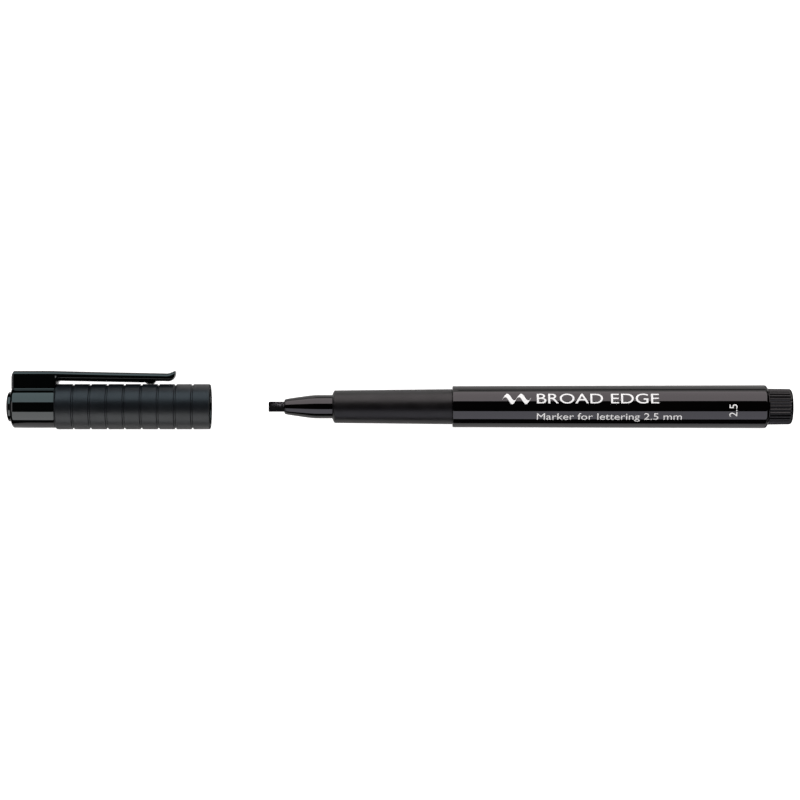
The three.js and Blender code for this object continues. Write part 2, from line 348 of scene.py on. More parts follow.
# %% Barrel
barrel_front, barrel_rear, barrel_radius = reach("barrel_tube")
barrel_front_radius = barrel_radius - 0.23 * mm
barrel_bore = 4.3 * mm
barrel_neck = 4.64 * mm
rear_cone_start, rear_cone_end = barrel_rear - 0.67 * mm, barrel_rear - 0.1 * mm
barrel_outline = rounded(
    [
        (barrel_front, barrel_front_radius, 0.22 * mm),
        (rear_cone_start, barrel_radius, 0.75 * mm),
        (rear_cone_end, barrel_neck, 0.04 * mm),
        (barrel_rear, barrel_neck, 0.03 * mm),
        (barrel_rear, barrel_bore, 0),
        (barrel_front, barrel_bore, 0),
    ]
)
barrel = turned("barrel", barrel_outline, barrel_gloss, 256)
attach(barrel, "pen")
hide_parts("barrel_tube")

# %% [markdown]
# ## The grip section
#
# The grip is a matt sleeve that narrows towards the nib. It meets the barrel with a step, and its front end is a
# blunt cone with a rounded edge, where the fingers slide over it.

# %% Grip section
grip_front, grip_spigot_end, grip_radius = reach("grip_section")
grip_front_radius = grip_radius - 0.33 * mm
grip_cone = 0.5 * mm
holder_hole = 3.06 * mm
spigot_radius = barrel_bore - 0.06 * mm
grip_bore = 3.45 * mm
grip_shoulder = barrel_front - 0.05 * mm
grip_outline = rounded(
    [
        (grip_front, holder_hole, 0.05 * mm),
        (grip_front + grip_cone, grip_front_radius, 0.5 * mm),
        (grip_shoulder, grip_radius, 0.12 * mm),
        (grip_shoulder, spigot_radius, 0),
        (grip_spigot_end, spigot_radius, 0.3 * mm),
        (grip_spigot_end, grip_bore, 0),
        (grip_front + 1.2 * mm, grip_bore, 0),
        (grip_front + 1.2 * mm, holder_hole, 0),
    ]
)
grip = turned("grip_section_matt", grip_outline, grip_matt, 192)
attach(grip, "pen")
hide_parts("grip_section")

# %% [markdown]
# ## The nib holder
#
# The holder is a polished cone with a slightly swollen side that runs into a cylinder. Its front face has a
# rectangular slot for the nib, with a small air channel above and below. A turned shape has round sections only,
# so each section here is a radius that depends on the angle: round outside, and the slot's own outline inside.


# %% Nib holder
def box_radius(a, half_y, half_z):
    """The distance from the axis to the side of a rectangle at angle a.

    It is the smaller of half_y / |cos a| and half_z / |sin a|, with both divisors kept off zero.
    """
    cosine, sine = (np.maximum(np.abs(part), 1e-6) for part in (np.cos(a), np.sin(a)))
    return np.minimum(half_y / cosine, half_z / sine)


holder_front, holder_end, holder_flange = reach("nib_holder")
nib_front, nib_end, _ = reach("chisel_nib")
nib_low, nib_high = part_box("chisel_nib")
nib_half_width, nib_half_thickness = (nib_high[1] - nib_low[1]) / 2, (nib_high[2] - nib_low[2]) / 2
holder_radius = 3.0 * mm
holder_tip = 1.98 * mm
slot_clearance = 0.06 * mm
slot_depth = 6 * mm
channel_half, channel_height = 0.25 * mm, 0.36 * mm
taper_start, taper_end = 0.42 * mm, 8.8 * mm


def holder_outside():
    """The cone's side, a curve through six radii: almost straight, and easing into the cylinder."""
    along = np.linspace(taper_start, taper_end, 40)
    places = np.array([taper_start / mm, 1.2, 4.0, 6.5, 7.8, taper_end / mm]) * mm
    radii = np.array([holder_tip / mm, 2.12, 2.53, 2.86, 2.97, holder_radius / mm]) * mm
    return np.stack([holder_front + along, smooth_through(along, places, radii)], axis=-1)


def slotted(x, r, a):
    """Keeps the round section where r is a radius, and puts the slot's outline where r is marked negative.

    The slot's outline is the farther of two rectangles: the nib's with its clearance, and the air channels'.
    """
    slot = np.maximum(
        box_radius(a, nib_half_width + slot_clearance, nib_half_thickness + slot_clearance),
        box_radius(a, channel_half, nib_half_thickness + channel_height),
    )
    return np.where(r < 0, slot, r)


flange_front = grip_front + 1.26 * mm
# of these three corners only the middle one's arc is kept
holder_rim = rounded(
    [
        (holder_front + 1.0 * mm, holder_tip - 0.05 * mm, 0),
        (holder_front, holder_tip - 0.06 * mm, 0.38 * mm),
        (holder_front, 1.2 * mm, 0),
    ],
    closed=False,
)[1:-1]
holder_outline = np.concatenate(
    [
        [(holder_end, 0), (holder_end, holder_flange), (flange_front, holder_flange), (flange_front, holder_radius)],
        holder_outside()[::-1],
        holder_rim,
        [(holder_front, -1), (holder_front + slot_depth, -1), (holder_front + slot_depth, 0)],
    ]
)
holder = turned("nib_holder_gloss", holder_outline, barrel_gloss, 240, slotted)
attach(holder, "pen")
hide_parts("nib_holder")

# %% [markdown]
# ## The nib's fibre
#
# Soaked fibre is dull and nearly black, with streaks along the nib. Towards the holder, on the side of the worn
# corner, which faces the stronger strip of light, pale specks are painted: partly dried fibre, partly a painted
# highlight. Two masks, along and across the nib, keep the noise of the specks in its place.


# %% The nib's fibre
def fibre(name):
    """Ink-soaked fibre: fine streaks along the nib, and pale specks towards the holder on the +Y side.

    The specks are partly dried fibre and partly a painted highlight.
    """
    made = Nodes(name)
    made.fixed("IOR", 1.4)
    made.fixed("Specular IOR Level", 0.3)
    streaks = made.noise(5200, 3.0, (0.12, 1, 1))
    specks = made.between(made.noise(2900, 2.0, (0.8, 1, 1)), 0, 1, 0.44, 0.6)
    sides = made.add("ShaderNodeSeparateXYZ", {0: made.place}).outputs
    behind = made.between(sides["X"], 0, 1, nib_front + 0.4 * mm, nib_front + 2.8 * mm)
    # the +Y side has the worn corner and faces the stronger strip; the pale specks there are partly dried fibre and
    # partly a painted highlight
    worn_and_lit_side = made.between(sides["Y"], 0, 1, -0.2 * mm, 0.45 * mm)
    where = made.add("ShaderNodeMath", {0: behind, 1: worn_and_lit_side}, operation="MULTIPLY").outputs[0]
    dried_specks_and_highlight = made.add("ShaderNodeMath", {0: specks, 1: where}, operation="MULTIPLY").outputs[0]
    wet = made.mixed(streaks, (0.0008, 0.0008, 0.001), (0.004, 0.004, 0.0044))
    # the specks' pale grey: partly dried fibre, partly painted highlight
    tone = made.add("ShaderNodeMix", {0: dried_specks_and_highlight, 6: wet, 7: (0.2, 0.2, 0.205, 1)}, data_type="RGBA")
    made.colour(tone.outputs[2])
    made.roughness(made.between(streaks, 0.32, 0.6))
    made.bumps([(streaks, 0.00004, 0.8)])
    return made.material


inked_fibre = fibre("inked_fibre")

# %% [markdown]
# ## The nib
#
# The nib is pressed fibre. Its section is a rectangle with soft corners, drawn along the pen: full height in the
# holder, then ground down on both faces to a straight edge. The fibres run along it, so ridges a tenth of a
# millimetre wide are worked into the mesh.

# %% Nib
nib_bevel = 3.6 * mm
edge_thickness = 0.5 * mm
worn_corner, other_corner = 0.42 * mm, 0.16 * mm
ridge_height = 0.004 * mm
section_power = 9.0
nib_sides = 192


def nib_surface():
    """A superellipse section |y/w|^n + |z/h|^n = 1 along x, with h falling to the ground edge.

    Near the edge w falls by an arc, by more on the +Y side, where the nib's corner is worn. Ridges run along x: a
    sum of cosines of the angle, with random phases, adds a hundredth of a millimetre or so.
    """
    random = np.random.default_rng(7)
    a = np.arange(nib_sides) * 2 * math.pi / nib_sides
    end = np.array([0.0, 0.02, 0.06, 0.12, 0.2]) * mm
    x = nib_front + np.concatenate([end, np.linspace(0.3 * mm, nib_end - nib_front, 90)])
    along = x - nib_front
    ground = edge_thickness / 2 + along / nib_bevel * (nib_half_thickness - edge_thickness / 2)
    height = np.minimum(nib_half_thickness, ground)
    rounding = np.sqrt(np.clip(1 - (1 - np.minimum(along / (0.2 * mm), 1)) ** 2, 0, 1))
    corner = np.where(np.cos(a) > 0, worn_corner, other_corner)
    cut_back = corner * (1 - np.sqrt(1 - np.clip(1 - along[:, None] / corner, 0, 1) ** 2))
    spread = (np.abs(np.cos(a)) ** section_power + np.abs(np.sin(a)) ** section_power) ** (-1 / section_power)
    ridges = sum(
        np.cos(k * a + random.uniform(0, 2 * math.pi)) * random.uniform(0.4, 1) for k in range(23, 64, 4)
    )
    depth = ridge_height * ridges
    y = (nib_half_width - cut_back) * spread * np.cos(a) + depth * np.cos(a)
    z = (height * (0.35 + 0.65 * rounding))[:, None] * spread * np.sin(a) + depth * np.sin(a)
    return capped(np.stack([np.broadcast_to(x[:, None], y.shape), y, z], axis=-1))


nib_points = nib_surface()
nib_faces = grid_faces(len(nib_points), nib_sides, False)
nib = mesh_object("fibre_nib", nib_points.reshape(-1, 3), nib_faces, inked_fibre)
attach(nib, "pen")
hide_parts("chisel_nib")

# %% [markdown]
# ## The rear plug
#
# The plug closes the barrel. Thirty flutes run along it, and run out where its end is rounded. They could be cut
# with thirty booleans, but a turned shape whose radius depends on the angle gives them in one step, with soft
# crests. The outline gets extra points along its straight stretches first, so that the flutes can fade.

# %% Rear plug
plug_spigot_end, plug_end, plug_radius = reach("rear_plug")
plug_front = barrel_rear + 0.05 * mm
flute_count = 30
flute_depth = 0.3 * mm
flute_turn = math.radians(1.3)
flute_sharpness = 1.2
flute_stop, flute_fade = 0.4 * mm, 0.5 * mm
cut_radius = 4.3 * mm


def fluted(x, r, a):
    """Lowers the radius by depth * ((1 + cos(count * a)) / 2) ^ sharpness, the shape of the flutes.

    The depth fades out before the rounded end, and there is none inside the barrel or on the spigot.
    """
    groove = ((1 + np.cos(flute_count * (a + flute_turn))) / 2) ** flute_sharpness
    run = np.clip((plug_end - flute_stop - x) / flute_fade, 0, 1)
    outside = np.clip((r - cut_radius) / (0.1 * mm), 0, 1) * (x > plug_front - 0.01 * mm)
    return r - flute_depth * groove * run * outside


plug_corners = [
    (plug_spigot_end, 2.8 * mm, 0),
    (plug_spigot_end, spigot_radius, 0.4 * mm),
    (plug_front, spigot_radius, 0),
    (plug_front, plug_radius, 0.1 * mm),
    (plug_end, plug_radius - 0.04 * mm, 0.85 * mm),
    (plug_end, 0, 0),
    (plug_end - 3 * mm, 0, 0),
    (plug_end - 3 * mm, 2.8 * mm, 0),
]
plug_outline = rounded(plug_corners, steps=14)


def refined(outline, longest):
    """Adds points on the long straight stretches of an outline, so that no step is longer than longest."""
    after = np.roll(outline, -1, axis=0)
    steps = np.maximum(np.ceil(np.linalg.norm(after - outline, axis=1) / longest).astype(int), 1)
    start = np.repeat(np.arange(len(outline)), steps)
    share = (np.arange(len(start)) - np.repeat(np.cumsum(steps) - steps, steps)) / np.repeat(steps, steps)
    return outline[start] + share[:, None] * (after[start] - outline[start])


plug_start = int(np.argmin(np.hypot(plug_outline[:, 0] - plug_end, plug_outline[:, 1])))
plug_outline = np.roll(plug_outline, -plug_start, axis=0)
plug_outline = refined(plug_outline, 0.25 * mm)
plug = turned("rear_plug_fluted", plug_outline, plug_matt, flute_count * 14, fluted)
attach(plug, "pen")
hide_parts("rear_plug")

# %% [markdown]
# ## The cap
#
# The cap is four turned pieces and a clip. The first is a polished shell: a thick crown, and a thin tube that
# runs on under the sleeve. Its closed end is rounded by a quarter of an ellipse, longer across than along, which
# decides how the light lines end. A small bead inside the mouth is what clicks over the grip.

# %% Cap shell
shell_low, shell_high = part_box("cap_shell")
sleeve_front, sleeve_mouth, sleeve_radius = reach("cap_sleeve")
crown_end = shell_low[0]
crown_radius = shell_high[2]
tube_radius = 5.2 * mm
cap_bore = 4.62 * mm
plug_hole = 3.06 * mm
end_wall = 1.5 * mm
shell_mouth = shell_high[0]
bead, bead_half, bead_height = shell_mouth - 1.45 * mm, 0.35 * mm, 0.06 * mm
crown_step = sleeve_front - 0.05 * mm
quarter = np.linspace(0, math.pi / 2, 16)[:, None]
crown_round = np.array([0.9, -1.5]) * mm
crown_arc = np.array([crown_end, crown_radius]) + crown_round * (1 - np.hstack([np.sin(quarter), np.cos(quarter)]))
shell_outline = rounded(
    [
        (crown_end, plug_hole, 0),
        *((x, r, 0) for x, r in crown_arc[::-1]),
        (crown_step, crown_radius, 0.12 * mm),
        (crown_step, tube_radius, 0),
        (shell_mouth, tube_radius, 0.2 * mm),
        (shell_mouth, cap_bore, 0.2 * mm),
        (bead + bead_half, cap_bore, 0.2 * mm),
        (bead, cap_bore - bead_height, 0.2 * mm),
        (bead - bead_half, cap_bore, 0.2 * mm),
        (crown_end + end_wall, cap_bore, 0.3 * mm),
        (crown_end + end_wall, plug_hole, 0),
    ]
)
shell = turned("cap_shell_gloss", shell_outline, cap_gloss, 256)
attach(shell, "cap")
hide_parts("cap_shell")

# %% [markdown]
# ## The cap's sleeve
#
# The sleeve is matt, with eight narrow grooves. Each has soft lips, so it shows as a dark line between two faint
# bright ones. A bump would give the line but not the notch in the silhouette, so the grooves are in the outline.

# %% Cap sleeve
groove_count = 8
groove_pitch = 4.335 * mm
groove_width = 0.62 * mm
groove_depth = 0.32 * mm
sleeve_middle = (sleeve_front + sleeve_mouth) / 2
sleeve_corners = [(sleeve_front, tube_radius + 0.03 * mm, 0), (sleeve_front, sleeve_radius, 0.65 * mm)]
for i in range(groove_count):
    centre = sleeve_middle + (i - (groove_count - 1) / 2) * groove_pitch
    sleeve_corners += [
        (centre - groove_width / 2, sleeve_radius, 0.12 * mm),
        (centre - groove_width / 4, sleeve_radius - groove_depth, 0.08 * mm),
        (centre + groove_width / 4, sleeve_radius - groove_depth, 0.08 * mm),
        (centre + groove_width / 2, sleeve_radius, 0.12 * mm),
    ]
sleeve_corners += [(sleeve_mouth, sleeve_radius, 0.4 * mm), (sleeve_mouth, tube_radius + 0.03 * mm, 0)]
sleeve = turned("cap_sleeve_grooved", rounded(sleeve_corners, steps=6), sleeve_matt, 256)
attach(sleeve, "cap")
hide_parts("cap_sleeve")

# %% [markdown]
# ## The cap's end plug
#
# A low polished dome closes the crown: a quarter of an ellipse turned about the axis, with a spigot behind it.

# %% Cap end plug
end_plug_low, end_plug_inside, end_plug_radius = reach("cap_end_plug")
end_plug_seat = crown_end - 0.05 * mm
dome_size = np.array([0.75 * mm, end_plug_radius - 0.05 * mm])
dome = np.array([end_plug_low, 0]) + dome_size * np.hstack([1 - np.cos(quarter), np.sin(quarter)])
end_plug_outline = rounded(
    [
        *((x, r, 0) for x, r in dome),
        (end_plug_seat, end_plug_radius, 0),
        (end_plug_seat, plug_hole - 0.06 * mm, 0),
        (end_plug_inside, plug_hole - 0.06 * mm, 0.3 * mm),
        (end_plug_inside, 0, 0),
    ],
    closed=False,
)
end_plug = turned("cap_end_plug_domed", end_plug_outline, cap_gloss, 192)
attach(end_plug, "cap")
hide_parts("cap_end_plug")

# %% [markdown]
# ## The seal cup
#
# The cup inside the cap closes round the nib holder, so that the nib doesn't dry. It is a turned cup, and its lip
# is tighter than the bore behind it.

# %% Seal cup
seal_floor, seal_mouth, seal_radius = reach("cap_seal")
seal_bore, seal_lip = 3.3 * mm, 3.1 * mm
seal_outline = rounded(
    [
        (seal_floor, 0, 0),
        (seal_floor, seal_radius, 0.4 * mm),
        (seal_mouth, seal_radius, 0.15 * mm),
        (seal_mouth, seal_lip + 0.5 * mm, 0.1 * mm),
        (seal_mouth - 0.5 * mm, seal_lip, 0.2 * mm),
        (seal_mouth - 1.0 * mm, seal_lip, 0.2 * mm),
        (seal_mouth - 1.5 * mm, seal_bore, 0.3 * mm),
        (seal_floor + 1 * mm, seal_bore, 0.6 * mm),
        (seal_floor + 1 * mm, 0, 0),
    ],
    closed=False,
)
seal = turned("cap_seal_cup", seal_outline, seal_matt, 128)
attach(seal, "seal")
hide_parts("cap_seal")

# %% [markdown]
# ## The clip
#
# The clip is one moulding with the crown: a block that stands on the crown, and an arm that reaches back over
# the sleeve. It is lofted from sections that all have the same number of points, so the block runs into the arm
# without a seam. Each section is a broad flange over a narrower rib. In the block the rib is as wide as the
# flange, and flares out in a small fillet where it meets the crown.

# %% The clip's main sizes
_, arm_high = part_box("clip_arm")
clip_top = shell_high[1]
clip_root = crown_step
clip_tip = arm_high[0]
clip_length = clip_tip - clip_root
block_half = 2.85 * mm
arm_half_root, arm_half_tip = 2.75 * mm, 2.1 * mm
rib_half = 1.5 * mm
block_start = crown_end + 0.2 * mm
end_round, end_drop, end_narrowing = 0.75 * mm, 1.8 * mm, 0.45 * mm
slot_start, slot_round = 0.45 * mm, 0.75 * mm
pad_front, pad_back = clip_root + 23.45 * mm, clip_root + 25.05 * mm
print("arm in mm:", round(float(clip_length) / mm, 2))


# %% Where the clip's sections stand
def clip_places():
    """Places along X, close together where the clip turns and far apart where it runs straight.

    Round an arc of radius r they stand at r (1 - cos a). Towards the tip their distances shrink as a power.
    """
    arc = 1 - np.cos(np.linspace(0, math.pi / 2, 12))
    end = block_start + end_round * arc
    block = np.linspace(block_start + 1.2 * mm, clip_root - 0.1 * mm, 12)
    root = [clip_root - 0.02 * mm, clip_root]
    slot = clip_root + slot_start + slot_round * arc
    arm = np.linspace(clip_root + slot_start + slot_round + 0.2 * mm, pad_front - 1.3 * mm, 40)
    pad = np.linspace(pad_front - 1.1 * mm, pad_back + 0.9 * mm, 40)
    tip = clip_tip - (clip_tip - pad_back - 1.0 * mm) * np.linspace(1, 0, 70) ** 1.7
    return np.concatenate([end, block, root, slot, arm, pad, tip])


clip_x = clip_places()
from_root = clip_x - clip_root
entry = np.clip((clip_x - block_start) / end_round, 0, 1)
end_inset = 1 - np.sqrt(np.clip(1 - (1 - entry) ** 2, 0, 1))
print("sections along the clip:", len(clip_x))


# %% The clip's top line
def clip_tops():
    """Level on the block, two straight falls along the arm, and a smooth curve up to the tip.

    Both ends are rounded: the height falls by size * (1 - sqrt(1 - t^2)), where t runs from 0 to 1 over the end.
    """
    falling = np.interp(from_root, np.array([0, 13.3, 27.6]) * mm, np.array([9.1, 8.79, 8.52]) * mm)
    rise_at = np.array([27.6, 28.7, 29.3, 29.8, 30.35, clip_length / mm]) * mm
    rising = smooth_through(from_root, rise_at, np.array([8.52, 8.52, 8.63, 8.83, 9.07, 9.16]) * mm)
    top = np.where(from_root < 0, clip_top, np.where(from_root > rise_at[0], rising, falling))
    tip_round = 0.2 * mm
    ending = np.clip((from_root - clip_length + tip_round) / tip_round, 0, 1)
    return top - end_drop * end_inset - tip_round * (1 - np.sqrt(1 - ending**2))


tops = clip_tops()
print("top line in mm:", [round(float(height) / mm, 2) for height in (tops.min(), tops.max())])


# %% The clip's underside
def clip_undersides():
    """The height of the flange's lower edge, and of the rib's underside, at each section.

    The rib's underside is low in the block, turns up by a quarter circle at the slot's end, follows the arm, and
    comes down to the sleeve at the pad with a slope on both sides.
    """
    curl_at = np.array([25.0, 27.6, 29.2, 29.55, 29.8, 30.06, 30.31, 30.5, clip_length / mm]) * mm
    curl = np.array([6.52, 6.53, 6.56, 6.67, 6.79, 7.03, 7.31, 7.65, 8.2]) * mm
    under_tip = smooth_through(from_root, curl_at, curl)
    flange = np.interp(from_root, np.array([0, 22.8, 28]) * mm, np.array([7.35, 7.1, 7.0]) * mm)
    flange = np.minimum(np.maximum(flange, under_tip + 0.05 * mm), tops - 0.03 * mm)
    under_arm = np.interp(from_root, np.array([0, 22.3, 25.0]) * mm, np.array([6.62, 6.17, 6.52]) * mm)
    under_arm = np.where(from_root > curl_at[0], under_tip, under_arm)
    turned_up = np.clip((from_root - slot_start) / slot_round, 0, 1)
    rise = np.sqrt(1 - (1 - turned_up) ** 2)
    in_crown, over_sleeve, pad_slope = 4.6 * mm, sleeve_radius + 0.02 * mm, 0.6 * mm
    rib = np.where(from_root <= 0, in_crown, over_sleeve + (under_arm - over_sleeve) * rise)
    on_pad = np.clip(np.minimum(clip_x - pad_front, pad_back - clip_x) / pad_slope + 1, 0, 1)
    rib = rib + (over_sleeve - rib) * on_pad
    return flange, np.minimum(rib, flange - 0.05 * mm)


flange_lows, rib_lows = clip_undersides()
print("rib's underside in mm:", [round(float(height) / mm, 2) for height in (rib_lows.min(), rib_lows.max())])


# %% The clip's widths
def clip_widths():
    """Half the flange's width and half the rib's, at each section.

    The flange narrows in a straight line from root to tip. The rib is as wide as the block up to the slot, and
    narrows behind it by a square root, which makes a concave shoulder.
    """
    to_arm = np.clip((from_root - slot_start) / (1.5 * mm), 0, 1)
    arm = np.interp(from_root, [0, clip_length], [arm_half_root, arm_half_tip])
    half = np.where(from_root <= 0, block_half, block_half + (arm - block_half) * to_arm)
    shoulder = np.clip((from_root - slot_start) / (1.2 * mm), 0, 1) ** 0.5
    rib = block_half + (rib_half - block_half) * shoulder
    rib = np.where(from_root <= 0, block_half, np.minimum(rib, half - 0.02 * mm))
    return half - end_narrowing * end_inset, rib - end_narrowing * end_inset, to_arm


flange_halves, rib_halves, arm_share = clip_widths()
print("widths in mm:", [round(2 * float(half) / mm, 2) for half in (flange_halves.min(), flange_halves.max())])


# %% The clip's sections
def column(y, z):
    """One point of every section: its (y, z) for each place along the clip."""
    return np.stack([np.broadcast_to(y, clip_x.shape), np.broadcast_to(z, clip_x.shape)], axis=-1)


def clip_sections():
    """Sections across X, each a closed loop of (y, z), mirrored in the plane z = 0.

    Going down one side the loop is: top middle, a rounded top edge, the flange's side, the step in to the rib,
    the rib's side and its underside. A rounded edge of radius e goes through (top - e (1 - cos t), half - e
    (1 - sin t)).
    """
    top, flange, under, half, rib = tops, flange_lows, rib_lows, flange_halves, rib_halves
    edge = np.minimum(0.9 * mm, (top - flange) * 0.62)
    small = np.minimum(0.12 * mm, (top - flange) * 0.15) * arm_share
    arc = np.linspace(0, math.pi / 2, 9)
    side = [column(top, 0), column(top, (half - edge) * 0.5)]
    side += [column(top - edge * (1 - math.cos(t)), half - edge * (1 - math.sin(t))) for t in arc]
    side += [column(flange + small * (1 - math.sin(t)), half - small * (1 - math.cos(t))) for t in arc[::4]]
    side += [column(flange, rib + small / 2), column(flange - small / 3, rib)]
    side += [column(under + (flange - under) * 0.5, rib)]
    side += [column(under + small * (1 - math.sin(t)), rib - small * (1 - math.cos(t))) for t in arc[::4]]
    side += [column(under, rib * 0.5), column(under, 0)]
    side = np.stack(side, axis=1)
    mirrored = side[:, -2:0:-1] * np.array([1, -1])
    loop = np.concatenate([side, mirrored], axis=1)
    return capped(np.concatenate([np.broadcast_to(clip_x[:, None, None], loop.shape[:2] + (1,)), loop], axis=2))


clip_points = clip_sections()
clip_faces = grid_faces(*clip_points.shape[:2], False)
clip = mesh_object("clip", clip_points.reshape(-1, 3), clip_faces, cap_gloss)
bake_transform(clip)
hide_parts("clip_arm")

# %% [markdown]
# ## The fillet under the clip's block
#
# Where the block stands on the crown, a small concave fillet catches a thin line of light on each side. It could
# come from a boolean and a bevel, but a lofted strip with the right arc is cleaner: its back is buried.


# %% Fillet under the clip's block
def block_fillet():
    """A strip on each side of the block, tangent to the crown's cylinder and to the block's side.

    Its section is an arc whose centre lies one fillet radius outside both. Angle s runs from the crown to the
    block, and the strip runs along x.
    """
    size, buried = 0.22 * mm, 0.3 * mm
    centre_z = block_half + size
    centre_y = math.sqrt((crown_radius + size) ** 2 - centre_z**2)
    s = np.linspace(math.atan2(-centre_y, -centre_z), -math.pi, 10)
    arc = np.stack([centre_y + size * np.sin(s), centre_z + size * np.cos(s)], axis=-1)
    inner = np.array([[centre_y, block_half - buried], [arc[0, 0] - buried, block_half - buried]])
    loop = np.concatenate([arc, inner])
    x = np.array([crown_end + 0.95 * mm, crown_end + 1.1 * mm, clip_root - 0.1 * mm, clip_root - 0.05 * mm])
    along = np.broadcast_to(x[:, None, None], (len(x), len(loop), 1))
    return capped(np.concatenate([along, np.broadcast_to(loop, (len(x), *loop.shape))], axis=2))


fillet_points = block_fillet()
fillet_faces = grid_faces(*fillet_points.shape[:2], False)
for side_name, sign in (("upper", 1), ("lower", -1)):
    vertices = fillet_points.reshape(-1, 3) * np.array([1, 1, sign])
    fillet = mesh_object(f"block_fillet_{side_name}", vertices, fillet_faces, cap_gloss)
    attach(fillet, "cap")

# %% [markdown]
# ## The print
#
# A wave drawn with a broad nib, two screen-printed lines of plain words and a nib size sit on the side that faces
# up. Each is made flat first: the words from a text object, the wave from its formula.


# %% Words and a wave, made flat
def lettering(words, size):
    """A flat mesh of a line of words, which starts at the origin and stands on the X axis."""
    curve = bpy.data.curves.new(words, "FONT")
    curve.body = words
    curve.size = size
    curve.resolution_u = 8
    text = bpy.data.objects.new(words, curve)
    bpy.context.collection.objects.link(text)
    flat = bpy.data.meshes.new_from_object(text.evaluated_get(bpy.context.evaluated_depsgraph_get()))
    bpy.data.objects.remove(text)
    return flat


def pen_stroke(length, height, waves=2.0, nib_width=1.15 * mm, nib_angle=math.radians(62), steps=160):
    """A wave drawn with a broad nib held at a fixed angle: each point is the wave's, moved half a nib both ways.

    The wave is y = height / 2 * sin(2 pi waves x / length). The nib is never in line with it, so the ribbon swells
    and thins but doesn't turn over.
    """
    t = np.linspace(0, 1, steps)
    nib_half = nib_width / 2 * np.array([math.cos(nib_angle), math.sin(nib_angle)])
    middle = np.stack([length * t, height / 2 * np.sin(2 * math.pi * waves * t)], axis=-1)
    points = np.stack([middle - nib_half, middle + nib_half], axis=1).reshape(-1, 2)
    vertices = np.hstack([points, np.zeros((len(points), 1))])
    i = 2 * np.arange(steps - 1)
    flat = bpy.data.meshes.new("stroke")
    flat.from_pydata(vertices.tolist(), [], np.stack([i, i + 2, i + 3, i + 1], axis=-1).tolist())
    return flat


# %% Placing a flat mesh
def coordinates(mesh):
    """A mesh's vertices as an array of (x, y, z)."""
    place = np.empty(len(mesh.vertices) * 3)
    mesh.vertices.foreach_get("co", place)
    return place.reshape(-1, 3)


def placed(flat, x, y, angle=0.0, width=None):
    """Moves a flat mesh so that its box starts at x and is centred on y, turned by angle and as wide as asked."""
    turn = np.array([[math.cos(angle), math.sin(angle), 0], [-math.sin(angle), math.cos(angle), 0], [0, 0, 1]])
    points = coordinates(flat) @ turn
    low, high = points.min(axis=0), points.max(axis=0)
    if width is not None:
        points = (points - low) * np.array([width / (high[0] - low[0]), 1, 1]) + low
    points = points + np.array([x - low[0], y - (low[1] + high[1]) / 2, 0])
    flat.vertices.foreach_set("co", points.ravel())
    flat.update()
    return flat


print_start = barrel_front + 21.35 * mm
title = placed(lettering("BROAD EDGE", 3.9 * mm), print_start, 2.2 * mm, width=31.0 * mm)
subtitle = placed(lettering("Marker for lettering 2.5 mm", 2.7 * mm), print_start, -2.9 * mm, width=36.8 * mm)
size_mark = placed(lettering("2.5", 2.9 * mm), barrel_rear - 10.4 * mm, -1.0 * mm, angle=math.pi / 2)
stroke = placed(pen_stroke(7.0 * mm, 1.9 * mm), print_start - 8.9 * mm, 2.1 * mm)
print("flat prints:", [len(flat.polygons) for flat in (title, subtitle, size_mark, stroke)], "faces")

# %% [markdown]
# ## Wrapping the print
#
# A flat letter would cut into a barrel this thin. So each print is sliced into narrow bands across its height, and
# every point is carried round the barrel. The ink stands a hundredth of a millimetre proud.


# %% Wrapping the print
def barrel_radius_at(x):
    """The barrel's radius at x, a straight line from its front edge to its rear cone."""
    return np.interp(x, [barrel_front, rear_cone_start], [barrel_front_radius, barrel_radius])


band_height = 0.2 * mm
ink_lift = 0.014 * mm
ink_thickness = 0.012 * mm


def wrapped(name, flat):
    """Wraps a flat mesh onto the barrel: the point at height y goes to the angle y / r from straight up."""
    made = bmesh.new()
    made.from_mesh(flat)
    heights = [v.co.y for v in made.verts]
    for level in np.arange(min(heights), max(heights), band_height)[1:]:
        parts = made.verts[:] + made.edges[:] + made.faces[:]
        bmesh.ops.bisect_plane(made, geom=parts, plane_co=(0, level, 0), plane_no=(0, 1, 0), dist=1e-9)
    made.to_mesh(flat)
    made.free()
    x, y, _ = coordinates(flat).T
    r = barrel_radius_at(x) + ink_lift
    flat.vertices.foreach_set("co", np.stack([x, r * np.sin(y / r), r * np.cos(y / r)], axis=-1).ravel())
    flat.update()
    piece = bpy.data.objects.new(name, flat)
    bpy.context.collection.objects.link(piece)
    thick = piece.modifiers.new("ink", "SOLIDIFY")
    thick.thickness = ink_thickness
    thick.offset = -1
    print(f"{name}: {len(flat.polygons)} faces")
    return piece


def printing_ink():
    """White screen-printing ink: nearly flat, thinner in places, so that the black shows through a little."""
    made = Nodes("white_print")
    made.fixed("IOR", 1.45)
    made.colour(made.mixed(made.noise(4000, 3.0), (0.72, 0.72, 0.72), (0.9, 0.9, 0.9)))
    made.roughness(made.between(made.noise(3000), 0.4, 0.6))
    made.bumps([(made.noise(12000, 1.0), 0.000002, 0.4)])
    return made.material


ink = printing_ink()
prints = {"print_title": title, "print_subtitle": subtitle, "print_size": size_mark, "print_stroke": stroke}
for name, flat in prints.items():
    piece = wrapped(name, flat)
    piece.data.materials.clear()
    piece.data.materials.append(ink)
    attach(piece, "pen")

# %% [markdown]
# ## The ink's rod and film
#
# The fibre rod and its film are sealed in the barrel. Their CAD shapes are right as they are, so they only get
# their own finishes.

